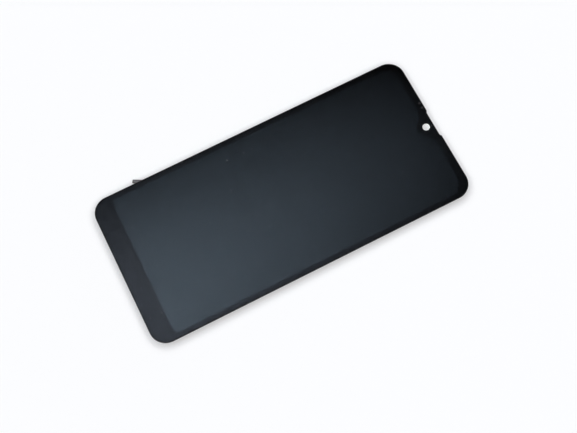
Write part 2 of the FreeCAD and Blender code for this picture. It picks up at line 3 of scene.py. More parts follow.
import bmesh
import bpy
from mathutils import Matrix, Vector


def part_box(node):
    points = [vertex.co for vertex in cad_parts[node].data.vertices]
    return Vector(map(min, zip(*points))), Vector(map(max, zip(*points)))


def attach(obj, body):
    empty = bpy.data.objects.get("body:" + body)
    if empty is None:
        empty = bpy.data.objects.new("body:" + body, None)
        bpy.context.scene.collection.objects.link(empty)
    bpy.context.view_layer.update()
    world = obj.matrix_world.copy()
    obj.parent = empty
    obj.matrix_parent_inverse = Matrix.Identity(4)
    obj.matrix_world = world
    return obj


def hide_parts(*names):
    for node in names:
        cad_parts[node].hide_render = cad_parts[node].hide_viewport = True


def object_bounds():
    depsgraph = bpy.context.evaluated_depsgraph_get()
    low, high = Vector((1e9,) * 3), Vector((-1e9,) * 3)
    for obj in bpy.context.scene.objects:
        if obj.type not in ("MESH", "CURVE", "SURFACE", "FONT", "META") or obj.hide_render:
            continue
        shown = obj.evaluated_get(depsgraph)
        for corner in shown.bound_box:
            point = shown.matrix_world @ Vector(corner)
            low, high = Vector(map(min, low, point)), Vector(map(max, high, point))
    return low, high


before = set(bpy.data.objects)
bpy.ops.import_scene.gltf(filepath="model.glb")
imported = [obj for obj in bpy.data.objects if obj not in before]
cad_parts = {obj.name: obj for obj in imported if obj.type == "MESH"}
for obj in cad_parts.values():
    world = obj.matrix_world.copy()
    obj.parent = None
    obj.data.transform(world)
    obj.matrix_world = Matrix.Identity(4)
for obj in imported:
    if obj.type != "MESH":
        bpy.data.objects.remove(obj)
cad_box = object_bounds()

MM = 0.001
MILLIMETRES = (1000.0, 1000.0, 1000.0)  # how many go into a metre, for each axis

# The camera, solved from the four edges of the glass. The image is 577 by 433.
IMAGE_WIDTH = 577
FOCAL_PIXELS = 1014.4
SENSOR_WIDTH = 36.0
CAMERA_ABOVE_GLASS = Vector((135.974, -52.742, 424.773)) * MM
CAMERA_TURN = (17.7791, 1.5409, 63.072)
NEAREST_SEEN = 0.01

# Two soft lights overhead, that the glass mirrors. A direction is given as (x / z, y / z).
LIGHT_MIDDLE = (-0.2514, -0.2258)
LIGHT_SPREAD = (0.108, 0.318)
LIGHT_LEAN = -0.0947  # step of the middle in x / z for each unit of y / z
LIGHT_STRENGTH = 1.74
LIGHT_TRIM = 0.3  # taken off all over, so that the light ends
LIGHT_COLOUR = (0.84, 0.97, 1.19, 1)
SECOND_MIDDLE = (0.02, -0.08)
SECOND_SPREAD = (0.1, 0.22)
SECOND_STRENGTH = 0.6
LOWEST_LIGHT = 0.1  # neither light reaches below this height, the sine of the elevation

# The ring of soft light round them and the glow over the horizon, by the same height
RING_STRENGTH = 2.7
RING_FOOT = (0.5, 0.62)
RING_TOP = (0.75, 0.86)
HORIZON_STRENGTH = 0.4
HORIZON_TOP = 0.35

# The floor
FLOOR_COLOUR = (0.88, 0.88, 0.885, 1)
FLOOR_SHADE = 0.99  # of that colour, in the darker patches
FLOOR_PATCHES_PER_METRE = 3.0
FLOOR_GLOW = 0.12
FLOOR_GLOW_THROUGH_GLASS = 0.5
FLOOR_SIZE = 4.0
FLOOR_GAP = 0.02 * MM

# The cover glass's shape, as in the part's own sizes
GLASS_CORNER = 7.7 * MM
GLASS_EDGE_ROUND = 0.45 * MM
GLASS_BACK_CHAMFER = 0.12 * MM
RECESS_HALF_WIDTH = 6.15 * MM
RECESS_DEPTH = 0.6 * MM
RECESS_RAMP = 0.6 * MM
RECESS_BLEND = 0.6 * MM
GLASS_LIFT = 0.005 * MM  # keeps the glass's back clear of the print that it carries
CORNER_STEPS = 40
BLEND_STEPS = 8
EDGE_STEPS = 8
CAP_MARGIN = 0.05 * MM  # from the rounded edge to the flat front's own face
SHARP_EDGE = math.radians(30)

# Grain and slow patches, as features per metre
FINE_GRAIN = 4000.0
GLASS_GRAIN = 900.0
CLEAR_FILM_GRAIN = 1500.0
COVERLAY_GRAIN = 3000.0
CLOTH_GRAIN = 6000.0
PATCHES_PER_METRE = 60.0
PRINT_PATCHES_PER_METRE = 25.0

# The cover glass's finish
GLASS_TINT = (0.985, 0.99, 0.99, 1)
# The rim's near-black tint is painted shade: the clear glass is tinted to show the dark line along
# its rounded edge.
RIM_PAINTED_SHADE_TINT = (0.004, 0.005, 0.005, 1)
RIM_MIRROR = (0.5, 0.5, 0.5, 1)
GLASS_IOR = 1.5
BONDED_IOR = 1.0
POLISH = 0.01
LAMP_TINT = (0.97, 0.97, 0.97, 1)
WHITE = (1, 1, 1, 1)
BLACK = (0, 0, 0, 1)

# Ink and film under the cover glass. A roughness in two numbers is its least value and how far
# it rises.
SHINE_ROUGHNESS = (0.03, 0.02)
INK_SHINE = 0.5
FILM_SHINE = 0.86
FILM_TINT = (0.9, 0.99, 1.0, 1)
SMEAR_HAZE = 0.02
SMEAR_ROUGHNESS = 0.5
SMEARS_PER_METRE = (34.0, 13.0, 20.0)
SMEAR_EDGE = (0.48, 0.72)
SPECK_COLOUR = (0.13, 0.13, 0.126, 1)
SPECK_PLACES_PER_METRE = 220.0
SPECK_SIZE = 0.055  # the largest, in shares of the distance between places
SPECK_SHARE = 0.1  # of the places that hold one

# The thin glass of the display with its light guide, and the clear films
THIN_GLASS_TINT = (0.9, 0.96, 0.94, 1)
THIN_GLASS_IOR = 1.51
THIN_GLASS_ROUGHNESS = (0.02, 0.04)
CLEAR_FILM_ROUGHNESS = (0.25, 0.1)

# Rolled sheet, the depths of its lines in metres
ROLLING_PER_METRE = (5000.0, 60.0, 5000.0)
MARKS_PER_METRE = 45.0
MARKS_EDGE = (0.25, 0.8)
MARKS_ROUGHNESS = 0.025
ROLLING_DEPTH = 7e-7
FILM_ROLLING_DEPTH = 3e-7

# The copper in the flex circuit, in millimetres, its depth in metres. The traces run up the
# body, then turn into the tail.
TAIL_TURN = math.radians(28.5)  # from -X to the tail
TRACE_PITCH = 0.26
TRACE_SPREAD = 2.0  # pitch in the body, in pitches of the tail
TRACE_BODY_START = -19.6  # X of the first trace in the body
TRACE_TAIL_START = -64.95  # the first trace's place across the tail
TRACE_BAND = 5.72
TRACE_END = 6.2  # along the tail, short of its head
MESH_PITCH = 1.1
MESH_GAP = 0.5
MESH_MIDDLE = -0.25
MESH_HALF_WIDTH = 20.35
MESH_TOP = -57.1
MESH_LINE = 0.2  # in shares of the pitch
TRACE_LINE = 0.5
LINE_EDGE = 0.15  # how far a line's soft edge reaches each way, in shares of its width
COPPER_DEPTH = 9e-6
COVERLAY_DARK = (0.024, 0.011, 0.008, 1)
COVERLAY_LIGHT = (0.036, 0.017, 0.011, 1)
COPPER_COLOUR = (0.068, 0.034, 0.019, 1)
COVERLAY_GRAIN_SHARE = 0.12  # of the grain's height, beside the copper's
COVERLAY_ROUGHNESS = (0.26, 0.12)

# The metallised cloth's weave, its pitch in millimetres, its depth in metres
WEAVE_PITCH = 0.22
WEAVE_DEPTH = 1.5e-5
# The colour in the hollows between the threads is painted shade.
CLOTH_HOLLOW_SHADE = (0.16, 0.16, 0.165, 1)
CLOTH_DARK = (0.3, 0.3, 0.31, 1)
CLOTH_LIGHT = (0.42, 0.42, 0.43, 1)
CLOTH_METAL = 0.7
CLOTH_SHADE_HEIGHTS = (0.5, 1.3)  # heights of the weave over which the painted shade of its hollows gives way to the threads' own tone
CLOTH_ROUGHNESS = (0.35, 0.15)


def connect(tree, socket, value):
    """Links a socket to another one, or sets it to a plain value."""
    if isinstance(value, bpy.types.NodeSocket):
        tree.links.new(value, socket)
    else:
        socket.default_value = value


def node(tree, kind, settings=None, inputs=None):
    """Adds a node. Its inputs are plain values, or sockets to link."""
    made = tree.nodes.new(kind)
    for name, value in (settings or {}).items():
        setattr(made, name, value)
    for name, value in (inputs or {}).items():
        connect(tree, made.inputs[name], value)
    return made


def calc(tree, operation, *values):
    """One Math node, as its output socket."""
    made = node(tree, "ShaderNodeMath", {"operation": operation})
    for socket, value in zip(made.inputs, values):
        connect(tree, socket, value)
    return made.outputs[0]


def uneven(tree, share, least, rise):
    """A value that rises from its least with a share."""
    return calc(tree, "MULTIPLY_ADD", share, rise, least)


def ramp(tree, value, low, high, to_low=0.0, to_high=1.0):
    """A smooth step of value from low to high."""
    settings = {"interpolation_type": "SMOOTHSTEP"}
    inputs = {
        "Value": value,
        "From Min": low,
        "From Max": high,
        "To Min": to_low,
        "To Max": to_high,
    }
    return node(tree, "ShaderNodeMapRange", settings, inputs).outputs["Result"]


def blend_colour(tree, share, first, second):
    """Two colours mixed by a share. The Mix node has its colours at sockets 6 and 7."""
    made = node(tree, "ShaderNodeMix", {"data_type": "RGBA"})
    for index, value in ((0, share), (6, first), (7, second)):
        connect(tree, made.inputs[index], value)
    return made.outputs[2]


def stretched(tree, coordinates, scale):
    """Coordinates in metres, multiplied by a scale for each axis."""
    inputs = {"Vector": coordinates, "Scale": scale}
    return node(tree, "ShaderNodeMapping", {"vector_type": "POINT"}, inputs).outputs["Vector"]


def new_group(name, inputs, outputs):
    """A shader node group with number inputs and outputs, and its tree's two ends."""
    tree = bpy.data.node_groups.new(name, "ShaderNodeTree")
    for label, value in inputs.items():
        socket = tree.interface.new_socket(label, in_out="INPUT", socket_type="NodeSocketFloat")
        socket.default_value = value
    for label in outputs:
        tree.interface.new_socket(label, in_out="OUTPUT", socket_type="NodeSocketFloat")
    return tree, tree.nodes.new("NodeGroupInput"), tree.nodes.new("NodeGroupOutput")


def object_coordinates(tree):
    """The place on the object, in metres."""
    return tree.nodes.new("ShaderNodeTexCoord").outputs["Object"]


def noise(tree, vector, scale, detail, roughness=0.5):
    """Clouds, from 0 to 1, with a number of them per metre."""
    inputs = {"Vector": vector, "Scale": scale, "Detail": detail, "Roughness": roughness}
    return node(tree, "ShaderNodeTexNoise", None, inputs).outputs["Fac"]


def build_grain_group():
    """Fine moulded or cast grain, as a height and as a slow unevenness."""
    inputs = {"Scale": FINE_GRAIN, "Patch Scale": PATCHES_PER_METRE}
    tree, ins, outs = new_group("grain", inputs, ("Height", "Patches"))
    place = object_coordinates(tree)
    tree.links.new(noise(tree, place, ins.outputs["Scale"], 2.0), outs.inputs["Height"])
    patches = noise(tree, place, ins.outputs["Patch Scale"], 3.0)
    tree.links.new(patches, outs.inputs["Patches"])
    return tree


def build_rolling_group():
    """Fine lines along Y, as rolled sheet has, and a cloud of faint handling marks."""
    tree, ins, outs = new_group("rolling lines", {"Fineness": 1.0}, ("Height", "Marks"))
    place = object_coordinates(tree)
    lines = stretched(tree, place, ROLLING_PER_METRE)
    lines = noise(tree, lines, ins.outputs["Fineness"], 3.0, 0.6)
    tree.links.new(lines, outs.inputs["Height"])
    marks = ramp(tree, noise(tree, place, MARKS_PER_METRE, 2.0), *MARKS_EDGE)
    tree.links.new(marks, outs.inputs["Marks"])
    return tree


def build_dust_group():
    """Sparse specks of dust and wiped smears on a smooth face."""
    inputs = {
        "Places Per Metre": SPECK_PLACES_PER_METRE,
        "Speck Size": SPECK_SIZE,
        "Share": SPECK_SHARE,
    }
    tree, ins, outs = new_group("dust and smears", inputs, ("Specks", "Smears"))
    place = object_coordinates(tree)
    settings = {"feature": "F1", "voronoi_dimensions": "2D"}
    inputs = {"Vector": place, "Scale": ins.outputs["Places Per Metre"]}
    cells = node(tree, "ShaderNodeTexVoronoi", settings, inputs)
    draws = node(tree, "ShaderNodeSeparateColor", None, {"Color": cells.outputs["Color"]})
    size = calc(tree, "MULTIPLY", draws.outputs[1], ins.outputs["Speck Size"])
    near = calc(tree, "LESS_THAN", cells.outputs["Distance"], size)
    kept = calc(tree, "LESS_THAN", draws.outputs[0], ins.outputs["Share"])
    tree.links.new(calc(tree, "MULTIPLY", near, kept), outs.inputs["Specks"])
    wiped = stretched(tree, place, SMEARS_PER_METRE)
    smears = ramp(tree, noise(tree, wiped, 1.0, 5.0, 0.6), *SMEAR_EDGE)
    tree.links.new(smears, outs.inputs["Smears"])
    return tree


def stripes(tree, value, pitch, line):
    """Lines of a width across value, a pitch apart, with soft edges."""
    wave = calc(tree, "PINGPONG", value, pitch / 2)
    near, far = line * (0.5 - LINE_EDGE), line * (0.5 + LINE_EDGE)
    return ramp(tree, wave, near, far, 1.0, 0.0)


def build_traces_group():
    """Copper traces that turn from a flex circuit's body into its tail, and a mesh beside them."""
    tree, ins, outs = new_group("copper traces", {"Mesh": 1.0}, ("Copper",))
    place = stretched(tree, object_coordinates(tree), MILLIMETRES)
    parts = node(tree, "ShaderNodeSeparateXYZ", None, {"Vector": place}).outputs
    x, y = parts["X"], parts["Y"]
    sine, cosine = math.sin(TAIL_TURN), math.cos(TAIL_TURN)
    across = calc(tree, "MULTIPLY_ADD", x, sine, calc(tree, "MULTIPLY", y, cosine))
    along = calc(tree, "MULTIPLY_ADD", y, sine, calc(tree, "MULTIPLY", x, -cosine))
    upright = calc(tree, "DIVIDE", calc(tree, "SUBTRACT", x, TRACE_BODY_START), TRACE_SPREAD)
    slanted = calc(tree, "SUBTRACT", across, TRACE_TAIL_START)
    bundle = calc(tree, "MAXIMUM", upright, slanted)
    middle = calc(tree, "SUBTRACT", bundle, TRACE_BAND / 2)
    beside = calc(tree, "ABSOLUTE", middle)
    traces = stripes(tree, bundle, TRACE_PITCH, TRACE_PITCH * TRACE_LINE)
    traces = calc(tree, "MULTIPLY", traces, calc(tree, "LESS_THAN", beside, TRACE_BAND / 2))
    traces = calc(tree, "MULTIPLY", traces, calc(tree, "LESS_THAN", along, TRACE_END))
    line = MESH_PITCH * MESH_LINE
    rising = stripes(tree, calc(tree, "ADD", x, y), MESH_PITCH, line)
    falling = stripes(tree, calc(tree, "SUBTRACT", x, y), MESH_PITCH, line)
    mesh = calc(tree, "MAXIMUM", rising, falling)
    clear = calc(tree, "GREATER_THAN", beside, TRACE_BAND / 2 + MESH_GAP)
    mesh = calc(tree, "MULTIPLY", mesh, clear)
    from_middle = calc(tree, "ABSOLUTE", calc(tree, "SUBTRACT", x, MESH_MIDDLE))
    mesh = calc(tree, "MULTIPLY", mesh, calc(tree, "LESS_THAN", from_middle, MESH_HALF_WIDTH))
    mesh = calc(tree, "MULTIPLY", mesh, calc(tree, "LESS_THAN", y, MESH_TOP))
    mesh = calc(tree, "MULTIPLY", mesh, ins.outputs["Mesh"])
    tree.links.new(calc(tree, "MAXIMUM", traces, mesh), outs.inputs["Copper"])
    return tree


def build_weave_group():
    """Plain weave, as a height: threads that pass over and under each other."""
    tree, ins, outs = new_group("plain weave", {"Pitch": WEAVE_PITCH}, ("Height",))
    place = stretched(tree, object_coordinates(tree), MILLIMETRES)
    parts = node(tree, "ShaderNodeSeparateXYZ", None, {"Vector": place}).outputs
    waves = []
    for axis in "XY":
        turns = calc(tree, "DIVIDE", parts[axis], ins.outputs["Pitch"])
        waves.append(calc(tree, "SINE", calc(tree, "MULTIPLY", turns, math.pi)))
    crossing = calc(tree, "MULTIPLY", *waves)
    ridges = calc(tree, "MAXIMUM", *(calc(tree, "ABSOLUTE", wave) for wave in waves))
    tree.links.new(calc(tree, "MULTIPLY_ADD", crossing, 0.5, ridges), outs.inputs["Height"])
    return tree


GRAIN = build_grain_group()
ROLLING = build_rolling_group()
DUST = build_dust_group()
TRACES = build_traces_group()
WEAVE = build_weave_group()


def use_group(tree, group, inputs=None):
    """Adds a node group to a material."""
    return node(tree, "ShaderNodeGroup", {"node_tree": group}, inputs)


def new_material(name):
    """An empty material, and its tree."""
    material = bpy.data.materials.new(name)
    material.use_nodes = True
    material.node_tree.nodes.clear()
    return material, material.node_tree


def finish_material(tree, shader):
    """Links a shader to the material's output."""
    out = tree.nodes.new("ShaderNodeOutputMaterial")
    tree.links.new(shader.outputs[0], out.inputs["Surface"])


def bump(tree, height, depth):
    """The relief that a height from 0 to 1 makes at a depth in metres."""
    inputs = {"Height": height, "Distance": depth, "Strength": 1.0}
    return node(tree, "ShaderNodeBump", None, inputs).outputs["Normal"]


def join_shaders(tree, kind, first, second, share=None):
    """Adds two shaders, or mixes them where a share is given."""
    made = tree.nodes.new(kind)
    sockets = list(made.inputs)
    if share is not None:
        connect(tree, sockets.pop(0), share)
    tree.links.new(first.outputs[0], sockets[0])
    tree.links.new(second.outputs[0], sockets[1])
    return made


def let_lamps_through(tree, shader):
    """Glass that lets light from lamps pass straight, so that what lies under it is lit."""
    lamp = tree.nodes.new("ShaderNodeLightPath").outputs["Is Shadow Ray"]
    clear = node(tree, "ShaderNodeBsdfTransparent", None, {"Color": LAMP_TINT})
    return join_shaders(tree, "ShaderNodeMixShader", shader, clear, lamp)


def cover_glass_material(name, tint, ior, mirror):
    """Glass, with its own tint and the tint of what it mirrors when seen square on."""
    material, tree = new_material(name)
    grain = use_group(tree, GRAIN, {"Scale": GLASS_GRAIN})
    inputs = {
        "Base Color": tint,
        "Roughness": calc(tree, "MULTIPLY", grain.outputs["Patches"], POLISH),
        "IOR": ior,
        "Transmission Weight": 1.0,
        "Specular Tint": mirror,
    }
    glass = node(tree, "ShaderNodeBsdfPrincipled", None, inputs)
    finish_material(tree, let_lamps_through(tree, glass))
    return material


def cover_glass_materials():
    """The rim, the flat front and the bonded back. The rim's glass is tinted near black, a painted
    shade for the dark line along its rounded edge.
    The print and the film under the front carry the shine of the stack for it. The back neither
    mirrors nor bends, because glue and ink touch it."""
    return (
        # The rim's tint is painted shade, kept with its white-tinted mirror shine.
        cover_glass_material("tempered glass, rim with painted shade", RIM_PAINTED_SHADE_TINT, GLASS_IOR, RIM_MIRROR),
        cover_glass_material("tempered glass, flat front", GLASS_TINT, GLASS_IOR, BLACK),
        cover_glass_material("tempered glass, bonded back", GLASS_TINT, BONDED_IOR, WHITE),
    )


def under_glass_material(name, dark, light, shine, tint):
    """Ink or film seen through the cover glass, with the shine, smears and dust of the glass."""
    material, tree = new_material(name)
    grain = use_group(tree, GRAIN, {"Patch Scale": PRINT_PATCHES_PER_METRE})
    marks = use_group(tree, DUST)
    patches = grain.outputs["Patches"]
    colour = blend_colour(tree, patches, (*dark, 1), (*light, 1))
    inputs = {
        "Base Color": blend_colour(tree, marks.outputs["Specks"], colour, SPECK_COLOUR),
        "Roughness": uneven(tree, patches, *SHINE_ROUGHNESS),
        "Specular IOR Level": shine,
        "Specular Tint": tint,
        "Coat Weight": calc(tree, "MULTIPLY", marks.outputs["Smears"], SMEAR_HAZE),
        "Coat Roughness": SMEAR_ROUGHNESS,
    }
    finish_material(tree, node(tree, "ShaderNodeBsdfPrincipled", None, inputs))
    return material


def thin_glass_material(name):
    """Clear glass or acrylic of the display, not as smooth as the cover glass."""
    material, tree = new_material(name)
    grain = use_group(tree, GRAIN, {"Scale": GLASS_GRAIN})
    inputs = {
        "Base Color": THIN_GLASS_TINT,
        "Roughness": uneven(tree, grain.outputs["Patches"], *THIN_GLASS_ROUGHNESS),
        "IOR": THIN_GLASS_IOR,
        "Transmission Weight": 1.0,
    }
    glass = node(tree, "ShaderNodeBsdfPrincipled", None, inputs)
    finish_material(tree, let_lamps_through(tree, glass))
    return material


def clear_film_material(name, dark, light, cover):
    """Glue or film that light passes straight through, with a share of it that covers."""
    material, tree = new_material(name)
    patches = use_group(tree, GRAIN, {"Scale": CLEAR_FILM_GRAIN}).outputs["Patches"]
    inputs = {
        "Base Color": blend_colour(tree, patches, (*dark, 1), (*light, 1)),
        "Roughness": uneven(tree, patches, *CLEAR_FILM_ROUGHNESS),
        "Alpha": cover,
    }
    finish_material(tree, node(tree, "ShaderNodeBsdfPrincipled", None, inputs))
    return material


def plain_material(name, dark, light, rough, spread, depth, scale=FINE_GRAIN, metal=0.0):
    """An opaque finish: two close tones in patches, uneven gloss and a fine grain."""
    material, tree = new_material(name)
    grain = use_group(tree, GRAIN, {"Scale": scale})
    patches = grain.outputs["Patches"]
    inputs = {
        "Base Color": blend_colour(tree, patches, (*dark, 1), (*light, 1)),
        "Metallic": metal,
        "Roughness": uneven(tree, patches, rough - spread / 2, spread),
        "Normal": bump(tree, grain.outputs["Height"], depth),
    }
    finish_material(tree, node(tree, "ShaderNodeBsdfPrincipled", None, inputs))
    return material


def sheet_metal_material(name, dark, light, rough, depth=ROLLING_DEPTH):
    """Rolled sheet: lines along the length, and faint handling marks."""
    material, tree = new_material(name)
    rolling = use_group(tree, ROLLING)
    lines = rolling.outputs["Height"]
    inputs = {
        "Base Color": blend_colour(tree, lines, (*dark, 1), (*light, 1)),
        "Metallic": 1.0,
        "Roughness": uneven(tree, rolling.outputs["Marks"], rough, MARKS_ROUGHNESS),
        "Normal": bump(tree, lines, depth),
    }
    finish_material(tree, node(tree, "ShaderNodeBsdfPrincipled", None, inputs))
    return material


def flex_material():
    """Dark coverlay, through which the copper shows as paler lines that stand up a little."""
    material, tree = new_material("flex coverlay")
    grain = use_group(tree, GRAIN, {"Scale": COVERLAY_GRAIN})
    patches = grain.outputs["Patches"]
    copper = use_group(tree, TRACES).outputs["Copper"]
    bare = blend_colour(tree, patches, COVERLAY_DARK, COVERLAY_LIGHT)
    height = calc(tree, "MULTIPLY_ADD", grain.outputs["Height"], COVERLAY_GRAIN_SHARE, copper)
    inputs = {
        "Base Color": blend_colour(tree, copper, bare, COPPER_COLOUR),
        "Roughness": uneven(tree, patches, *COVERLAY_ROUGHNESS),
        "Normal": bump(tree, height, COPPER_DEPTH),
    }
    finish_material(tree, node(tree, "ShaderNodeBsdfPrincipled", None, inputs))
    return material


def cloth_material():
    """Metallised cloth, woven, in patches of tone, with painted shade in the hollows between its
    threads.
    """
    material, tree = new_material("metallised cloth")
    grain = use_group(tree, GRAIN, {"Scale": CLOTH_GRAIN})
    weave = use_group(tree, WEAVE).outputs["Height"]
    # The threads' tone gives way to painted shade in the hollows of the weave.
    thread = ramp(tree, weave, *CLOTH_SHADE_HEIGHTS)
    worn = blend_colour(tree, grain.outputs["Patches"], CLOTH_DARK, CLOTH_LIGHT)
    inputs = {
        "Base Color": blend_colour(tree, thread, CLOTH_HOLLOW_SHADE, worn),
        "Metallic": CLOTH_METAL,
        "Roughness": uneven(tree, grain.outputs["Height"], *CLOTH_ROUGHNESS),
        "Normal": bump(tree, weave, WEAVE_DEPTH),
    }
    finish_material(tree, node(tree, "ShaderNodeBsdfPrincipled", None, inputs))
    return material


def outline_points(corners):
    """Points and outward normals round the corners (x, y, radius, steps), anticlockwise."""
    points = []
    for i, (x, y, radius, steps) in enumerate(corners):
        here = Vector((x, y))
        back = (Vector(corners[i - 1][:2]) - here).normalized()
        ahead = (Vector(corners[(i + 1) % len(corners)][:2]) - here).normalized()
        half = back.angle(ahead) / 2
        turn = 1 if (-back).cross(ahead) > 0 else -1
        middle = here + (back + ahead).normalized() * (radius / math.sin(half))
        first = math.atan2(*reversed(here + back * (radius / math.tan(half)) - middle))
        sweep = turn * (math.pi - 2 * half)
        for k in range(steps + 1):
            angle = first + sweep * k / steps
            way = Vector((math.cos(angle), math.sin(angle)))
            points.append((middle + way * radius, way * turn))
    return points


def glass_outline():
    """The cover glass's outline, with the recess in its top edge."""
    low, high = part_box("cover_glass")
    mouth = RECESS_HALF_WIDTH + RECESS_RAMP
    floor = high.y - RECESS_DEPTH
    return outline_points(
        [
            (low.x, low.y, GLASS_CORNER, CORNER_STEPS),
            (high.x, low.y, GLASS_CORNER, CORNER_STEPS),
            (high.x, high.y, GLASS_CORNER, CORNER_STEPS),
            (mouth, high.y, RECESS_BLEND, BLEND_STEPS),
            (RECESS_HALF_WIDTH, floor, RECESS_BLEND, BLEND_STEPS),
            (-RECESS_HALF_WIDTH, floor, RECESS_BLEND, BLEND_STEPS),
            (-mouth, high.y, RECESS_BLEND, BLEND_STEPS),
            (low.x, high.y, GLASS_CORNER, CORNER_STEPS),
        ]
    )


def glass_profile():
    """(inset, height) from the glass's back, round its edge, to its front face."""
    low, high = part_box("cover_glass")
    bottom = low.z + GLASS_LIFT
    rings = [(GLASS_BACK_CHAMFER, bottom), (0.0, bottom + GLASS_BACK_CHAMFER)]
    for k in range(EDGE_STEPS + 1):
        angle = math.pi / 2 * k / EDGE_STEPS
        inset = GLASS_EDGE_ROUND * (1 - math.cos(angle))
        rings.append((inset, high.z - GLASS_EDGE_ROUND * (1 - math.sin(angle))))
    rings.append((GLASS_EDGE_ROUND + CAP_MARGIN, high.z))
    return rings


def build_cover_glass():
    """The cover glass in fine facets, its front and back faces with finishes of their own."""
    outline = glass_outline()
    mesh = bmesh.new()
    rings = []
    for inset, height in glass_profile():
        places = [point - normal * inset for point, normal in outline]
        rings.append([mesh.verts.new((p.x, p.y, height)) for p in places])
    for lower, upper in zip(rings, rings[1:]):
        for i in range(len(outline)):
            j = (i + 1) % len(outline)
            mesh.faces.new((lower[i], lower[j], upper[j], upper[i]))
    mesh.faces.new(rings[-1])
    mesh.faces.new(list(reversed(rings[0])))
    for index, face in enumerate(list(mesh.faces)[-2:], 1):
        face.material_index = index
    data = bpy.data.meshes.new("cover_glass_fine")
    mesh.to_mesh(data)
    mesh.free()
    data.polygons.foreach_set("use_smooth", [True] * len(data.polygons))
    data.set_sharp_from_angle(angle=SHARP_EDGE)
    place_piece(data, cover_glass_materials(), "cover_glass", "cover_glass")


def place_piece(data, finishes, slot, *replaced):
    """Puts a mesh into the scene as a piece of the part, in place of CAD nodes."""
    piece = bpy.data.objects.new(data.name, data)
    bpy.context.scene.collection.objects.link(piece)
    for material in finishes:
        data.materials.append(material)
    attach(piece, "root")
    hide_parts(*replaced)


def dress(name, material):
    """Gives a CAD node its finish."""
    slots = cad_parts[name].data.materials
    slots.clear()
    slots.append(material)


